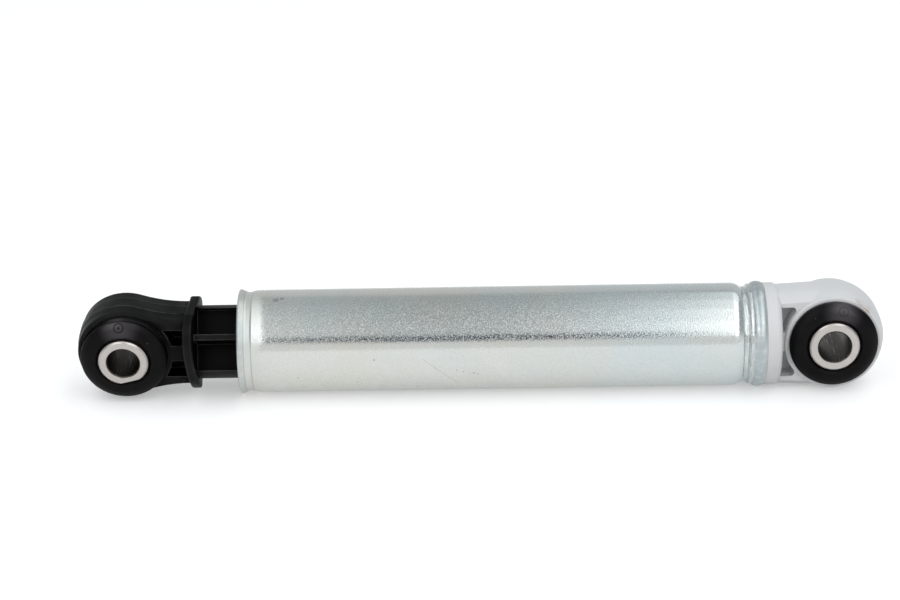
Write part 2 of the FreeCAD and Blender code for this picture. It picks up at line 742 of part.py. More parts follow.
def plunger_eye_bush():
    """A like bush in the plunger's eye, with a groove over the rib in its hole and a lower back."""
    body = new_body("plunger_eye_bush")
    hole_r = d.rim_bore_dia / 2 - d.slip
    rib_to = d.rim_rib_half + d.slip
    groove = [(d.rim_rib_dia / 2 - d.slip, rib_to), (hole_r, rib_to)]
    neck = [(hole_r, d.rim_half - d.bush_sink), (d.bush_neck_dia / 2, d.rim_half)]
    front = groove + neck + bush_face(d.rim_bulge_dia / 2, d.rim_bulge_half, d.bush_top_half)
    back = groove + bush_face(hole_r, d.bush_back_half, d.bush_back_top)
    revolve(body, "bush", "XY_Plane", "V_Axis", back + mirrored_face(front))
    round_bulge(body, d.rim_bulge_half)
    place_on_plunger(body)
    return body


def friction_lining():
    """Foam friction strip laid round the piston, open where its ends meet."""
    body = new_body("friction_lining")
    bed_from = d.piston_reach - d.piston_length + d.lining_bed_setback + d.slip
    bed_to = d.piston_reach - d.lining_bed_setback - d.slip
    low = d.lining_bed_dia / 2 + d.slip
    high = inner_r - d.slip
    revolve(body, "strip", "XZ_Plane", "H_Axis", [
        (bed_from, low),
        (bed_to, low),
        (bed_to, high),
        (bed_from, high),
    ])
    slit = new_sketch(body, "strip_ends", "XY_Plane", offset=low - d.slip)
    draw(slit, [
        (bed_from - d.slip, -d.lining_gap / 2),
        (bed_to + d.slip, -d.lining_gap / 2),
        (bed_to + d.slip, d.lining_gap / 2),
        (bed_from - d.slip, d.lining_gap / 2),
    ])
    pocket(body, "ends_gap", slit)
    place_on_plunger(body)
    return body


pieces = [
    damper_tube(),
    tube_end_eye(),
    tube_eye_bush(),
    sleeve("tube_eye_sleeve"),
    guide_bush(),
    plunger(),
    plunger_eye_bush(),
    plunger_eye_sleeve(),
    friction_lining(),
]
doc.recompute()

for item in doc.Objects:
    if {"Invalid", "Error"} & set(item.State):
        raise RuntimeError(f"{item.Name} failed: {item.State}")
for piece in pieces:
    if piece.Shape.isNull() or not piece.Shape.isValid() or len(piece.Shape.Solids) != 1:
        raise RuntimeError(f"{piece.Label} is not one valid solid")

os.makedirs("parts", exist_ok=True)
for piece in pieces:
    piece.Shape.exportStep(f"parts/{piece.Label}.step")
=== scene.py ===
import math

import bmesh
import bpy
from mathutils import Matrix, Vector


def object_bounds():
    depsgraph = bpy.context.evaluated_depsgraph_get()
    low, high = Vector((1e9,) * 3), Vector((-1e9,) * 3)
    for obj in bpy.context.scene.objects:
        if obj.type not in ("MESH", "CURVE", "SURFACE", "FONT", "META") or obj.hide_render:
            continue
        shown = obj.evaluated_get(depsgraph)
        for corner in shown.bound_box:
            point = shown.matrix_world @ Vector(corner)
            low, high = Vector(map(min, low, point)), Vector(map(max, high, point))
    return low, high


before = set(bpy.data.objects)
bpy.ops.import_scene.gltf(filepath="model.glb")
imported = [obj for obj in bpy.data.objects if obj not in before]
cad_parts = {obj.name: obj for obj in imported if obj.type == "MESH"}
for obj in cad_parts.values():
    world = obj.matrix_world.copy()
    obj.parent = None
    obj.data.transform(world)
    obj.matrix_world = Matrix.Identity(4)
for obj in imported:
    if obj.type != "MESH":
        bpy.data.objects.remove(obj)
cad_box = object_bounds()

# Damper tube: a drawn steel tube, its mouth flared and rolled in, its other end grooved and beaded.
# The zinc plating is bright, with a fine frosted grain, faint yellow and blue tints and handling marks.
# Places along the tube are X in metres, from the middle of the grey eye.
TUBE_RADIUS = 0.013
GROOVE_FROM, GROOVE_TO = -0.0227, -0.0203
CUT_EDGE_FROM, CUT_EDGE_TO = -0.01730, -0.01715
LIP_TO, MOUTH_DULL_FROM, MOUTH_DULL_TO = -0.1475, -0.1425, -0.1445
LIP_LINES, LIP_LINE_HALF = (-0.1457, -0.1475), 0.00012
BORDER, LIP_BORDER = 0.0002, 0.0003
# plating: two tints that change along the tube and in patches, and pale clouds
ZINC_YELLOW, ZINC_BLUE = (0.645, 0.645, 0.605, 1), (0.585, 0.645, 0.66, 1)
ZINC_PALE = (0.68, 0.68, 0.675, 1)
BLUE_FROM, BLUE_TO, BLUE_BY_PLACE, BLUE_BY_PATCH = -0.075, -0.035, 0.55, 0.45
TINT_SCALE, TINT_SPAN = 45.0, (0.35, 0.65)
CLOUD_OFFSET, CLOUD_SCALE, CLOUD_SPAN, CLOUD_SHARE = (0.3, 0.1, 0.2), 110.0, (0.45, 0.8), 0.5
GRAIN_SCALE, GRAIN_STRENGTH, GRAIN_DEPTH = 3200.0, 0.12, 0.00008
FROST_SPAN, FROST_ROUGH, FROST_METAL = (0.36, 0.68), 0.18, -0.06
SHINE, ROLLED_ROUGH = 0.11, 0.2
# lines scored round the groove, and the dulled plating of the bead and lip
SCORED, SCORE_SHARE = (0.32, 0.33, 0.34, 1), 0.55
SCORE_STRETCH, SCORE_SCALE, SCORE_SPAN = (1.0, 0.06, 0.06), 4200.0, (0.4, 0.62)
DULLED, DULL_SCALE, DULL_SPAN, DULL_SHARE, LIP_DULL = (0.36, 0.41, 0.43, 1), 700.0, (0.1, 0.6), 0.7, 0.5
CUT_STEEL = (0.80, 0.80, 0.78, 1)
LINE_DIRT, LINE_SHARE = (0.20, 0.19, 0.18, 1), 0.6
DIRT, SPECK_SHARE, MARK_SHARE, SCRATCH_SHARE = (0.20, 0.20, 0.21, 1), 0.4, 0.75, 0.45
# handling marks: place along the tube, degrees up from the front, radius
MARKS = (
    (-0.1395, 74.0, 0.0011),
    (-0.1380, 76.0, 0.0008),
    (-0.1150, -1.0, 0.00035),
    (-0.1342, -24.0, 0.00035),
    (-0.1195, -32.5, 0.0003),
    (-0.1494, -34.5, 0.0006),
    (-0.0944, -15.6, 0.0003),
    (-0.0928, -17.9, 0.0003),
    (-0.0902, -20.3, 0.0004),
    (-0.0892, -22.0, 0.0003),
)
MARK_CORE, MARK_RAGGED_SCALE, MARK_GAIN = 0.3, 2600.0, 1.4
# a hairline scratch: its ends along the tube, its slope round it, half width, fading ends and waver
SCRATCH_FROM, SCRATCH_TO, SCRATCH_SLOPE = -0.1030, -0.0933, -0.90
SCRATCH_HALF, SCRATCH_CORE, SCRATCH_FADE = 0.00012, 0.000036, 0.0005
SCRATCH_WAVER, SCRATCH_WAVER_SCALE = 0.002, 150.0


def new_material(name):
    """An empty node material, its node tree and its Principled shader."""
    material = bpy.data.materials.new(name)
    material.use_nodes = True
    return material, material.node_tree, material.node_tree.nodes["Principled BSDF"]


def connect(tree, node, inputs):
    """Set a node's inputs to values, or link them to other nodes' sockets."""
    for name, value in inputs.items():
        if isinstance(value, bpy.types.NodeSocket):
            tree.links.new(value, node.inputs[name])
        else:
            node.inputs[name].default_value = value


def add(tree, kind, inputs, **settings):
    """A new node with its settings and inputs."""
    node = tree.nodes.new(kind)
    for name, value in settings.items():
        setattr(node, name, value)
    connect(tree, node, inputs)
    return node


def math_of(tree, operation, *values):
    """Result of a Math node."""
    return add(tree, "ShaderNodeMath", dict(enumerate(values)), operation=operation).outputs[0]


def times(tree, value, *others):
    """Product of values."""
    for other in others:
        value = math_of(tree, "MULTIPLY", value, other)
    return value


def away_from(tree, value, middle):
    """How far a value lies from a middle one."""
    return math_of(tree, "ABSOLUTE", math_of(tree, "SUBTRACT", value, middle))


def ramp(tree, value, low, high):
    """A value brought to 0 at low and 1 at high, smoothly."""
    node = add(tree, "ShaderNodeMapRange", {"Value": value, "From Min": low, "From Max": high},
               interpolation_type="SMOOTHSTEP")
    return node.outputs["Result"]


def blend(tree, share, first, second):
    """First colour where share is 0, second where it is 1."""
    return add(tree, "ShaderNodeMix", {0: share, 6: first, 7: second}, data_type="RGBA").outputs[2]


def place(tree, offset=(0, 0, 0), turn=(0, 0, 0), scale=(1, 1, 1)):
    """Object coordinates, moved, turned and stretched by a Mapping node."""
    coordinates = add(tree, "ShaderNodeTexCoord", {})
    mapping = add(tree, "ShaderNodeMapping", {
        "Vector": coordinates.outputs["Object"], "Location": offset, "Rotation": turn, "Scale": scale})
    return mapping.outputs["Vector"]


def split(tree, vector):
    """X, Y and Z of a vector."""
    return add(tree, "ShaderNodeSeparateXYZ", {"Vector": vector}).outputs


def distance(tree, centre):
    """Distance from a point of the part."""
    node = add(tree, "ShaderNodeVectorMath", {0: place(tree), 1: centre}, operation="DISTANCE")
    return node.outputs["Value"]


def noise(tree, vector, scale, detail=2.0, roughness=0.5):
    """Grey value of a Noise texture."""
    node = add(tree, "ShaderNodeTexNoise", {
        "Vector": vector, "Scale": scale, "Detail": detail, "Roughness": roughness})
    return node.outputs["Fac"]


def emboss(tree, shader, strength, depth, height, **more):
    """Fine relief on a shader's surface."""
    bump = add(tree, "ShaderNodeBump", {"Strength": strength, "Distance": depth, "Height": height, **more})
    tree.links.new(bump.outputs["Normal"], shader.inputs["Normal"])


# small specks, spaced apart: dirt in the plating, dust on the mouldings
specks_group = bpy.data.node_groups.new("specks", "ShaderNodeTree")
for socket in ("Spacing", "Size", "Share"):
    specks_group.interface.new_socket(socket, in_out="INPUT", socket_type="NodeSocketFloat")
specks_group.interface.new_socket("Mask", in_out="OUTPUT", socket_type="NodeSocketFloat")
asked = specks_group.nodes.new("NodeGroupInput").outputs
cells = add(specks_group, "ShaderNodeTexVoronoi", {
    "Vector": place(specks_group), "Scale": math_of(specks_group, "DIVIDE", 1.0, asked["Spacing"])})
drawn = add(specks_group, "ShaderNodeSeparateColor", {"Color": cells.outputs["Color"]})
near = math_of(specks_group, "LESS_THAN", cells.outputs["Distance"], asked["Size"])
chosen = math_of(specks_group, "LESS_THAN", drawn.outputs["Red"], asked["Share"])
add(specks_group, "NodeGroupOutput", {"Mask": times(specks_group, near, chosen)})


def specks(tree, spacing, size, share):
    """Mask of specks."""
    node = add(tree, "ShaderNodeGroup", {}, node_tree=specks_group)
    connect(tree, node, {"Spacing": spacing, "Size": size, "Share": share})
    return node.outputs["Mask"]


def finish_with(node, material):
    """Give a CAD node its finished material in every slot."""
    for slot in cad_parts[node].material_slots:
        slot.material = material


zinc, tree, shader = new_material("zinc_plating")
here = place(tree)
at = split(tree, here)
along = at["X"]
around = times(tree, math_of(tree, "ARCTAN2", at["Z"], times(tree, at["Y"], -1.0)), TUBE_RADIUS)

by_place = times(tree, ramp(tree, along, BLUE_FROM, BLUE_TO), BLUE_BY_PLACE)
by_patch = times(tree, ramp(tree, noise(tree, here, TINT_SCALE), *TINT_SPAN), BLUE_BY_PATCH)
colour = blend(tree, math_of(tree, "ADD", by_place, by_patch), ZINC_YELLOW, ZINC_BLUE)
cloud = noise(tree, place(tree, offset=CLOUD_OFFSET), CLOUD_SCALE, detail=3.0)
colour = blend(tree, times(tree, ramp(tree, cloud, *CLOUD_SPAN), CLOUD_SHARE), colour, ZINC_PALE)

in_groove = times(tree, ramp(tree, along, GROOVE_FROM - BORDER, GROOVE_FROM + BORDER),
                  ramp(tree, along, GROOVE_TO + BORDER, GROOVE_TO - BORDER))
streaks = noise(tree, place(tree, scale=SCORE_STRETCH), SCORE_SCALE, roughness=0.7)
score_marks = times(tree, in_groove, ramp(tree, streaks, *SCORE_SPAN))
colour = blend(tree, times(tree, score_marks, SCORE_SHARE), colour, SCORED)

on_bead = ramp(tree, along, GROOVE_TO - BORDER, GROOVE_TO + BORDER)
on_lip = ramp(tree, along, LIP_TO + LIP_BORDER, LIP_TO - LIP_BORDER)
rolled = math_of(tree, "MAXIMUM", on_bead, times(tree, on_lip, LIP_DULL))
patches = ramp(tree, noise(tree, here, DULL_SCALE), *DULL_SPAN)
colour = blend(tree, times(tree, rolled, patches, DULL_SHARE), colour, DULLED)
colour = blend(tree, ramp(tree, along, CUT_EDGE_FROM, CUT_EDGE_TO), colour, CUT_STEEL)
for line in LIP_LINES:
    on_line = ramp(tree, away_from(tree, along, line), LIP_LINE_HALF, 0.0)
    colour = blend(tree, times(tree, on_line, LINE_SHARE), colour, LINE_DIRT)

marks = 0.0
for x, turn, radius in MARKS:
    front, up = math.cos(math.radians(turn)), math.sin(math.radians(turn))
    away = distance(tree, (x, -TUBE_RADIUS * front, TUBE_RADIUS * up))
    marks = math_of(tree, "MAXIMUM", marks, ramp(tree, away, radius, radius * MARK_CORE))
marks = times(tree, marks, noise(tree, here, MARK_RAGGED_SCALE), MARK_GAIN)
run = times(tree, math_of(tree, "SUBTRACT", along, SCRATCH_FROM), SCRATCH_SLOPE)
waver = times(tree, math_of(tree, "SUBTRACT", noise(tree, here, SCRATCH_WAVER_SCALE), 0.5), SCRATCH_WAVER)
off_scratch = away_from(tree, around, math_of(tree, "ADD", run, waver))
scratch = times(tree, ramp(tree, off_scratch, SCRATCH_HALF, SCRATCH_CORE),
                ramp(tree, along, SCRATCH_FROM, SCRATCH_FROM + SCRATCH_FADE),
                ramp(tree, along, SCRATCH_TO, SCRATCH_TO - SCRATCH_FADE))
dirt = times(tree, specks(tree, spacing=0.007, size=0.05, share=0.15), SPECK_SHARE)
dirt = math_of(tree, "MAXIMUM", dirt, times(tree, marks, MARK_SHARE))
dirt = math_of(tree, "MAXIMUM", dirt, times(tree, scratch, SCRATCH_SHARE))
colour = blend(tree, dirt, colour, DIRT)

frost = ramp(tree, noise(tree, here, GRAIN_SCALE, roughness=0.6), *FROST_SPAN)
by_mouth = ramp(tree, along, MOUTH_DULL_FROM, MOUTH_DULL_TO)
rough = math_of(tree, "MULTIPLY_ADD", frost, FROST_ROUGH, SHINE)
rough = math_of(tree, "MULTIPLY_ADD", math_of(tree, "MAXIMUM", on_bead, by_mouth), ROLLED_ROUGH, rough)
metal = math_of(tree, "MULTIPLY_ADD", frost, FROST_METAL, 1.0)
connect(tree, shader, {"Base Color": colour, "Roughness": rough, "Metallic": metal})
grain = noise(tree, here, GRAIN_SCALE, detail=1.0)
emboss(tree, shader, GRAIN_STRENGTH, GRAIN_DEPTH, math_of(tree, "SUBTRACT", grain, score_marks))
finish_with("damper_tube", zinc)

# Guide bush: a turned ring of natural plastic in the tube's mouth, held by the rolled-in neck.
# Only its front edge can be seen, round the rod.
GUIDE_DARK, GUIDE_PALE, GUIDE_SCALE = (0.52, 0.52, 0.49, 1), (0.66, 0.66, 0.63, 1), 300.0
GUIDE_ROUGH, GUIDE_ROUGH_MORE = 0.35, 0.2

guide_plastic, tree, shader = new_material("guide_plastic")
mottle = noise(tree, place(tree), GUIDE_SCALE, detail=3.0)
connect(tree, shader, {
    "Base Color": blend(tree, mottle, GUIDE_DARK, GUIDE_PALE),
    "Roughness": math_of(tree, "MULTIPLY_ADD", mottle, GUIDE_ROUGH_MORE, GUIDE_ROUGH)})
finish_with("guide_bush", guide_plastic)

# Tube end: pale grey moulded plug, flange, neck and eye in one, rolled into the tube's groove.
# Satin, slightly uneven, with brown rub marks from handling on the ring over the bush.
GREY_DARK, GREY_PALE, GREY_SCALE = (0.555, 0.555, 0.56, 1), (0.625, 0.625, 0.628, 1), 120.0
GREY_ROUGH, GREY_ROUGH_MORE = 0.36, 0.15
GREY_PORE_SCALE, GREY_PORE_STRENGTH, GREY_PORE_DEPTH = 2400.0, 0.08, 0.00008
# rub marks: turn about the eye and distance from its middle, each with a half width that fades from a core,
# and the Y that they lie in front of
RUB_TURN, RUB_TURN_HALF, RUB_TURN_CORE = math.radians(53.5), math.radians(13.5), math.radians(8.1)
RUB_RADIUS, RUB_HALF, RUB_CORE = 0.0120, 0.0010, 0.0003
RUB_BEFORE, RUB_FADE = -0.0050, 0.0008
RUB_BROWN, RUB_SHARE = (0.33, 0.19, 0.11, 1), 0.9
RUB_STRETCH, RUB_SCALE, RUB_SPAN = 0.04, 3200.0, (0.42, 0.60)


def from_axis(tree, at):
    """Distance from the Y axis."""
    flat = add(tree, "ShaderNodeCombineXYZ", {"X": at["X"], "Z": at["Z"]}).outputs["Vector"]
    return add(tree, "ShaderNodeVectorMath", {0: flat}, operation="LENGTH").outputs["Value"]


grey_plastic, tree, shader = new_material("grey_plastic")
here = place(tree)
at = split(tree, here)
flow = noise(tree, here, GREY_SCALE, detail=3.0)
turned = math_of(tree, "ARCTAN2", at["Z"], at["X"])
outward = from_axis(tree, at)
unrolled = add(tree, "ShaderNodeCombineXYZ", {
    "X": times(tree, turned, RUB_RADIUS * RUB_STRETCH), "Y": outward}).outputs["Vector"]
rubs = times(tree, ramp(tree, noise(tree, unrolled, RUB_SCALE, roughness=0.6), *RUB_SPAN),
             ramp(tree, away_from(tree, turned, RUB_TURN), RUB_TURN_HALF, RUB_TURN_CORE),
             ramp(tree, away_from(tree, outward, RUB_RADIUS), RUB_HALF, RUB_CORE),
             ramp(tree, at["Y"], RUB_BEFORE, RUB_BEFORE - RUB_FADE))
colour = blend(tree, flow, GREY_DARK, GREY_PALE)
connect(tree, shader, {
    "Base Color": blend(tree, times(tree, rubs, RUB_SHARE), colour, RUB_BROWN),
    "Roughness": math_of(tree, "MULTIPLY_ADD", flow, GREY_ROUGH_MORE, GREY_ROUGH)})
emboss(tree, shader, GREY_PORE_STRENGTH, GREY_PORE_DEPTH, noise(tree, here, GREY_PORE_SCALE))
finish_with("tube_end_eye", grey_plastic)

# Rubber bush in the grey eye: black moulded rubber, pressed in, bulging over the ring on both faces.
# Soft and dull, with fine pores, a little dust and a shinier patch round the scar of the mould's gate; that
# patch is also lightened in colour as a painted highlight.
RUBBER_DARK, RUBBER_PALE, RUBBER_SCALE = (0.0016, 0.0014, 0.0017, 1), (0.0036, 0.0030, 0.0035, 1), 160.0
RUBBER_ROUGH, RUBBER_ROUGH_MORE, RUBBER_SPECULAR = 0.28, 0.22, 0.06
RUBBER_PORE_SCALE, RUBBER_PORE_SHARE, SCAR_DEPTH = 1800.0, 0.1, 0.0002
RUBBER_DUST, DUST_SHARE = (0.20, 0.17, 0.14, 1), 0.35
# gate scar of each bush: its place, and how deep it is
SCARS = (((0.00195, -0.00913, 0.00912), 0.35), ((-0.17845, -0.01035, 0.00828), 0.9))
SCAR_RADIUS, SCAR_LINE, SCAR_LINE_CORE = 0.00115, 0.0002, 0.00006
SCAR_DOT, SCAR_DOT_CORE = 0.0004, 0.0002
# the shinier patch: its radius, inner end of its fading, its painted highlight colour, and its share of
# colour (painted highlight) and of sheen
PATCH_RADIUS, PATCH_CORE, PAINTED_HIGHLIGHT_COLOUR = 0.0060, 0.001, (0.024, 0.0172, 0.0232, 1)
PAINTED_HIGHLIGHT_SHARE, PATCH_SHEEN, RUBBER_SHEEN, RUBBER_SHEEN_ROUGH = 0.8, 0.75, 0.12, 0.30

rubber, tree, shader = new_material("bush_rubber")
here = place(tree)
bloom = noise(tree, here, RUBBER_SCALE, detail=3.0)
sunk = times(tree, noise(tree, here, RUBBER_PORE_SCALE, detail=3.0), RUBBER_PORE_SHARE)
# patch round each scar: it raises the coat's sheen and lightens the colour as a painted highlight; the
# scar's ring and dot are cut out of it
sheen_and_painted_highlight = 0.0
for centre, depth in SCARS:
    away = distance(tree, centre)
    sheen_and_painted_highlight = math_of(tree, "MAXIMUM", ramp(tree, away, PATCH_RADIUS, PATCH_CORE), sheen_and_painted_highlight)
    ring = ramp(tree, away_from(tree, away, SCAR_RADIUS), SCAR_LINE, SCAR_LINE_CORE)
    dot = ramp(tree, away, SCAR_DOT, SCAR_DOT_CORE)
    for cut in (times(tree, ring, depth), times(tree, dot, depth)):
        sunk = math_of(tree, "SUBTRACT", sunk, cut)
        sheen_and_painted_highlight = math_of(tree, "SUBTRACT", sheen_and_painted_highlight, cut)
sheen_and_painted_highlight = math_of(tree, "MAXIMUM", sheen_and_painted_highlight, 0.0)
colour = blend(tree, bloom, RUBBER_DARK, RUBBER_PALE)
dust = specks(tree, spacing=0.0026, size=0.06, share=0.18)
colour = blend(tree, times(tree, dust, DUST_SHARE), colour, RUBBER_DUST)
# base colour is lightened in the patch round each scar: a painted highlight
connect(tree, shader, {
    "Base Color": blend(tree, times(tree, sheen_and_painted_highlight, PAINTED_HIGHLIGHT_SHARE), colour, PAINTED_HIGHLIGHT_COLOUR),
    "Roughness": math_of(tree, "MULTIPLY_ADD", bloom, RUBBER_ROUGH_MORE, RUBBER_ROUGH),
    "Specular IOR Level": RUBBER_SPECULAR,
    "Coat Weight": math_of(tree, "MULTIPLY_ADD", sheen_and_painted_highlight, PATCH_SHEEN, times(tree, bloom, RUBBER_SHEEN)),
    "Coat Roughness": RUBBER_SHEEN_ROUGH})
emboss(tree, shader, 1.0, SCAR_DEPTH, sunk)
finish_with("tube_eye_bush", rubber)

# Steel sleeve in that bush: cut from drawn tube and plated, its ends turned, its bore left as drawn.
# The end face is pale and finely ringed, the bore is darker with bright lengthwise streaks.
BORE_WALL, BORE_BORDER = 0.0043, 0.0001
FACE_DARK, FACE_PALE, FACE_SCALE = (0.46, 0.43, 0.405, 1), (0.58, 0.545, 0.515, 1), 700.0
BORE_DARK, BORE_BRIGHT, BORE_SPAN = (0.045, 0.038, 0.031, 1), (0.36, 0.33, 0.30, 1), (0.58, 0.72)
STREAK_STRETCH, STREAK_SCALE, RING_SCALE = (1.0, 0.03, 1.0), 3800.0, 9000.0
STREAK_RELIEF, RING_RELIEF, SLEEVE_STRENGTH, SLEEVE_DEPTH = 1.5, 0.5, 0.2, 0.0001
SLEEVE_DIRT, SLEEVE_DIRT_SHARE = (0.2, 0.17, 0.15, 1), 0.4
SLEEVE_ROUGH, SLEEVE_ROUGH_MORE = 0.30, 0.16


def sleeve_steel(name, offset, turn):
    """Sleeve steel whose turned rings and drawn streaks are centred on one sleeve."""
    material, tree, shader = new_material(name)
    own = place(tree, offset, turn)
    radius = from_axis(tree, split(tree, own))
    in_bore = ramp(tree, radius, BORE_WALL + BORE_BORDER, BORE_WALL - BORE_BORDER)
    lengthwise = add(tree, "ShaderNodeMapping", {"Vector": own, "Scale": STREAK_STRETCH}).outputs["Vector"]
    streaks = noise(tree, lengthwise, STREAK_SCALE, detail=3.0, roughness=0.65)
    rings = add(tree, "ShaderNodeTexNoise", {"W": radius, "Scale": RING_SCALE, "Detail": 2.0},
                noise_dimensions="1D").outputs["Fac"]
    cloud = noise(tree, own, FACE_SCALE, detail=3.0)
    face = blend(tree, cloud, FACE_DARK, FACE_PALE)
    wall = blend(tree, ramp(tree, streaks, *BORE_SPAN), BORE_DARK, BORE_BRIGHT)
    dirt = times(tree, specks(tree, spacing=0.0016, size=0.08, share=0.3), SLEEVE_DIRT_SHARE)
    connect(tree, shader, {
        "Base Color": blend(tree, dirt, blend(tree, in_bore, face, wall), SLEEVE_DIRT),
        "Roughness": math_of(tree, "MULTIPLY_ADD", cloud, SLEEVE_ROUGH_MORE, SLEEVE_ROUGH),
        "Metallic": 1.0})
    relief = math_of(tree, "MULTIPLY_ADD", rings, RING_RELIEF, times(tree, streaks, in_bore, STREAK_RELIEF))
    emboss(tree, shader, SLEEVE_STRENGTH, SLEEVE_DEPTH, relief)
    return material


finish_with("tube_eye_sleeve", sleeve_steel("tube_sleeve_steel", (0, 0, 0), (0, 0, 0)))

# Plunger: one black glass-filled moulding with the eye, pocketed neck, stop collar, ribbed rod and piston.
# Satin black, lighter along its edges from slight wear and from a painted highlight, with fine moulding
# grain and a little dust.
# Its pockets, found by ambient occlusion, are painted blacker as painted shade, and their sheen is duller.
BLACK_DARK, BLACK_PALE, BLACK_SCALE = (0.0011, 0.0011, 0.0012, 1), (0.0028, 0.0027, 0.0026, 1), 140.0
BLACK_ROUGH, BLACK_ROUGH_MORE, BLACK_SPECULAR = 0.34, 0.20, 0.06
BLACK_PORE_SCALE, BLACK_PORE_STRENGTH, BLACK_PORE_DEPTH = 2200.0, 0.08, 0.0001
POCKET_PAINTED_SHADE, POCKET_REACH, POCKET_SPAN = (0.0006, 0.0006, 0.0006, 1), 0.014, (0.55, 0.95)
SHEEN, SHEEN_MORE, SHEEN_SPAN, SHEEN_ROUGH = 0.05, 0.16, (0.35, 0.65), 0.36
EDGE_RADIUS, EDGE_SPAN = 0.0004, (0.999, 0.92)
WEAR_AND_PAINTED_HIGHLIGHT, WEAR_AND_HIGHLIGHT_SPAN, WEAR_AND_HIGHLIGHT_SHARE = (0.085, 0.079, 0.072, 1), (0.30, 0.55), 0.8
BLACK_DUST = (0.20, 0.18, 0.15, 1)

black_plastic, tree, shader = new_material("black_plastic")
here = place(tree)
flow = noise(tree, here, BLACK_SCALE, detail=4.0)
occlusion = add(tree, "ShaderNodeAmbientOcclusion", {"Distance": POCKET_REACH}, samples=8, only_local=True)
unoccluded = ramp(tree, occlusion.outputs["AO"], *POCKET_SPAN)
# pockets painted darker by ambient occlusion: painted shade
colour = blend(tree, unoccluded, POCKET_PAINTED_SHADE, blend(tree, flow, BLACK_DARK, BLACK_PALE))
rounded = add(tree, "ShaderNodeBevel", {"Radius": EDGE_RADIUS}, samples=6).outputs["Normal"]
facing = add(tree, "ShaderNodeNewGeometry", {}).outputs["True Normal"]
edge = add(tree, "ShaderNodeVectorMath", {0: rounded, 1: facing}, operation="DOT_PRODUCT").outputs["Value"]
# edges lightened: partly wear, partly a painted highlight along every edge
wear_and_painted_highlight = times(tree, ramp(tree, edge, *EDGE_SPAN), ramp(tree, flow, *WEAR_AND_HIGHLIGHT_SPAN), WEAR_AND_HIGHLIGHT_SHARE)
colour = blend(tree, wear_and_painted_highlight, colour, WEAR_AND_PAINTED_HIGHLIGHT)
dust = specks(tree, spacing=0.0026, size=0.06, share=0.25)
sheen = math_of(tree, "MULTIPLY_ADD", ramp(tree, flow, *SHEEN_SPAN), SHEEN_MORE, SHEEN)
connect(tree, shader, {
    "Base Color": blend(tree, times(tree, dust, DUST_SHARE), colour, BLACK_DUST),
    "Roughness": math_of(tree, "MULTIPLY_ADD", flow, BLACK_ROUGH_MORE, BLACK_ROUGH),
    "Specular IOR Level": BLACK_SPECULAR,
    "Coat Weight": times(tree, unoccluded, sheen),
    "Coat Roughness": SHEEN_ROUGH})
pores = noise(tree, here, BLACK_PORE_SCALE)
emboss(tree, shader, BLACK_PORE_STRENGTH, BLACK_PORE_DEPTH, pores, Normal=rounded)
finish_with("plunger", black_plastic)

# Friction lining: a strip of dark greased foam, laid round the piston in a groove.
# It rubs along the inside of the tube, where it can't be seen.
FOAM_DARK, FOAM_PALE, FOAM_ROUGH = (0.03, 0.03, 0.033, 1), (0.09, 0.09, 0.095, 1), 0.8
FOAM_SCALE, FOAM_STRENGTH, FOAM_DEPTH = 1800.0, 0.5, 0.0002

lining_foam, tree, shader = new_material("lining_foam")
pores = add(tree, "ShaderNodeTexVoronoi", {"Vector": place(tree), "Scale": FOAM_SCALE}).outputs["Distance"]
connect(tree, shader, {"Base Color": blend(tree, pores, FOAM_DARK, FOAM_PALE), "Roughness": FOAM_ROUGH})
emboss(tree, shader, FOAM_STRENGTH, FOAM_DEPTH, pores)
finish_with("friction_lining", lining_foam)

# Rubber bush in the plunger's eye: the same moulded rubber as in the other eye, pressed over a rib.
# Its round face bulges over the eye's front, with the scar where the mould was filled.
finish_with("plunger_eye_bush", rubber)

# Steel sleeve in that bush: cut from drawn tube and plated, as in the other eye.
# A flat is cut on its front end, and it stands turned with the plunger.
PLUNGER_EYE = Vector((-0.178, 0.0, 0.0))
PLUNGER_TWIST = math.radians(8.77)

turned_steel = sleeve_steel("plunger_sleeve_steel", -PLUNGER_EYE, (-PLUNGER_TWIST, 0, 0))
finish_with("plunger_eye_sleeve", turned_steel)

# Studio: a white floor, and a tall soft lamp on each side in front, which fade towards their tops.
# Between them is a gap with weak inner edges, where the grey room shows, and a dark patch low in that gap.
FLOOR_HALF = 4.0
FLOOR_COLOUR, FLOOR_ROUGH, FLOOR_SPECULAR = (0.74, 0.74, 0.74, 1), 0.9, 0.1
FLOOR_GLOW, FLOOR_GLOW_MORE = 0.28, 0.06
# room: its colour in front, then each colour that takes over between two angles up from the front
ROOM_FRONT = (0.45, 0.48, 0.50, 1)
ROOM_ZONES = (
    ((0.41, 0.45, 0.47, 1), 40, 80),
    ((0.66, 0.68, 0.69, 1), 125, 150),
    ((0.86, 0.86, 0.85, 1), 24, 16),
)
# dark patch: its angle up from the front, half height and half width in degrees, and its fading edge
GAP_HEIGHT, GAP_HALF_HEIGHT, GAP_HALF_WIDTH, GAP_SPAN = 21.6, 7.0, 5.5, (1.6, 0.5)
GAP_DARK = (0.035, 0.05, 0.085, 1)
# lamps and their inner edges: name, ends along X, lowest angle from the front, brightness
LAMPS = (
    ("left_lamp", -1.0, -0.345, 18, 1.61),
    ("left_edge", -0.345, -0.18, 30, 0.175),
    ("right_edge", -0.02, 0.085, 30, 0.26),
    ("right_lamp", 0.085, 0.75, 18, 1.73),
)
# bands of each lamp, from its bottom: highest angle, share of the brightness
BANDS = ((50, 1.2), (80, 1.0), (104, 0.75), (130, 0.5))
LAMP_AWAY = 1.1

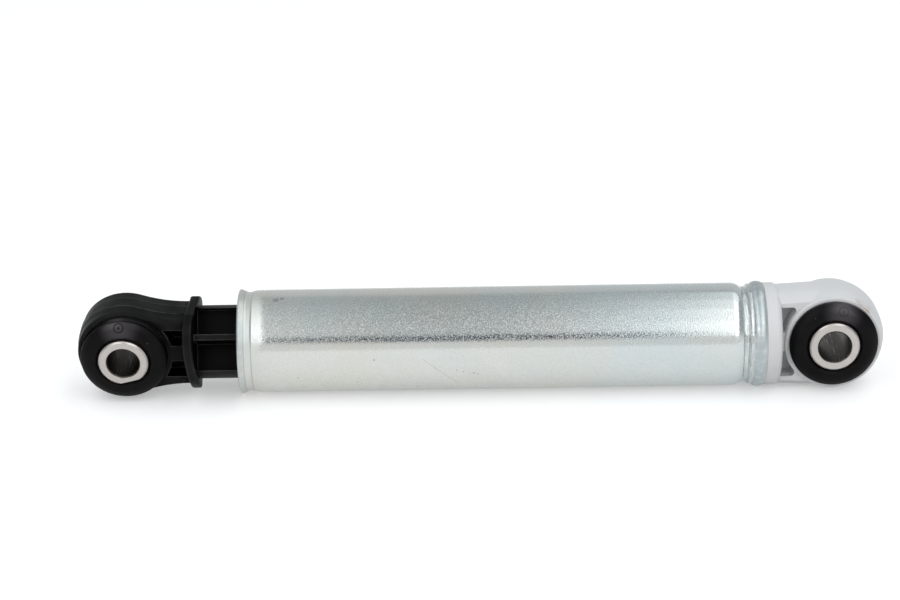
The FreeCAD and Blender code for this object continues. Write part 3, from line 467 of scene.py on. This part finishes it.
floor_mesh = bpy.data.meshes.new("white_floor")
form = bmesh.new()
bmesh.ops.create_grid(form, x_segments=1, y_segments=1, size=FLOOR_HALF,
                      matrix=Matrix.Translation((0, 0, cad_box[0].z)))
form.to_mesh(floor_mesh)
form.free()
floor = bpy.data.objects.new("white_floor", floor_mesh)
bpy.context.scene.collection.objects.link(floor)
floor_white, tree, shader = new_material("floor_white")
rays = add(tree, "ShaderNodeLightPath", {}).outputs
mirrored = math_of(tree, "MAXIMUM", rays["Is Glossy Ray"], rays["Is Transmission Ray"])
seen = math_of(tree, "MAXIMUM", rays["Is Camera Ray"], mirrored)
glow = math_of(tree, "MULTIPLY_ADD", rays["Is Camera Ray"], FLOOR_GLOW_MORE, times(tree, seen, FLOOR_GLOW))
connect(tree, shader, {
    "Base Color": FLOOR_COLOUR,
    "Roughness": FLOOR_ROUGH,
    "Specular IOR Level": FLOOR_SPECULAR,
    "Emission Color": (1, 1, 1, 1),
    "Emission Strength": glow})
floor_mesh.materials.append(floor_white)

world = bpy.data.worlds.new("studio")
world.use_nodes = True
bpy.context.scene.world = world
tree = world.node_tree
toward = split(tree, add(tree, "ShaderNodeTexCoord", {}).outputs["Generated"])
over = math_of(tree, "ARCTAN2", toward["Z"], times(tree, toward["Y"], -1.0))
room = ROOM_FRONT
for zone, start, end in ROOM_ZONES:
    room = blend(tree, ramp(tree, over, math.radians(start), math.radians(end)), room, zone)
rise = math_of(tree, "SUBTRACT", over, math.radians(GAP_HEIGHT))
rise = math_of(tree, "DIVIDE", rise, math.radians(GAP_HALF_HEIGHT))
aside = math_of(tree, "DIVIDE", toward["X"], math.sin(math.radians(GAP_HALF_WIDTH)))
from_gap = math_of(tree, "MULTIPLY_ADD", rise, rise, times(tree, aside, aside))
room = blend(tree, ramp(tree, from_gap, *GAP_SPAN), room, GAP_DARK)
tree.links.new(room, tree.nodes["Background"].inputs["Color"])

for name, left, right, low, brightness in LAMPS:
    for high, share in BANDS:
        tilt = math.radians((low + high) / 2)
        lamp_way = Vector((0, -math.cos(tilt), math.sin(tilt)))
        lamp = bpy.data.lights.new(name, "AREA")
        lamp.shape = "RECTANGLE"
        lamp.size = right - left
        lamp.size_y = 2 * LAMP_AWAY * math.tan(math.radians((high - low) / 2))
        lamp.energy = brightness * share * math.pi * lamp.size * lamp.size_y
        hung = bpy.data.objects.new(name, lamp)
        hung.location = Vector(((left + right) / 2, 0, 0)) + lamp_way * LAMP_AWAY
        hung.rotation_euler = (-lamp_way).to_track_quat("-Z", "Y").to_euler()
        bpy.context.scene.collection.objects.link(hung)
        low = high

# Camera: a long lens from in front and a little above, as the damper is pictured.
# It looks in by half a degree from the right, and is tipped by about one degree.
AIM = Vector((-0.09593, 0.0, 0.010351))
CAMERA_DISTANCE, CAMERA_LENS, CAMERA_SENSOR, CAMERA_NEAR = 0.6119, 97.12, 36.0, 0.01
CAMERA_ELEVATION, CAMERA_YAW, CAMERA_ROLL = math.radians(21.60), math.radians(0.51), math.radians(-1.08)

camera_data = bpy.data.cameras.new("camera")
camera_data.sensor_width = CAMERA_SENSOR
camera_data.lens = CAMERA_LENS
camera_data.clip_start = CAMERA_NEAR
camera = bpy.data.objects.new("camera", camera_data)
bpy.context.scene.collection.objects.link(camera)
back = Vector((math.sin(CAMERA_YAW) * math.cos(CAMERA_ELEVATION),
               -math.cos(CAMERA_YAW) * math.cos(CAMERA_ELEVATION), math.sin(CAMERA_ELEVATION)))
sideways = Vector((0, 0, 1)).cross(back).normalized()
upright = Matrix((sideways, back.cross(sideways), back)).transposed()
camera.matrix_world = Matrix.Translation(AIM + back * CAMERA_DISTANCE) @ (
    upright @ Matrix.Rotation(CAMERA_ROLL, 3, "Z")).to_4x4()
bpy.context.scene.camera = camera
bpy.context.scene.view_settings.view_transform = "Standard"
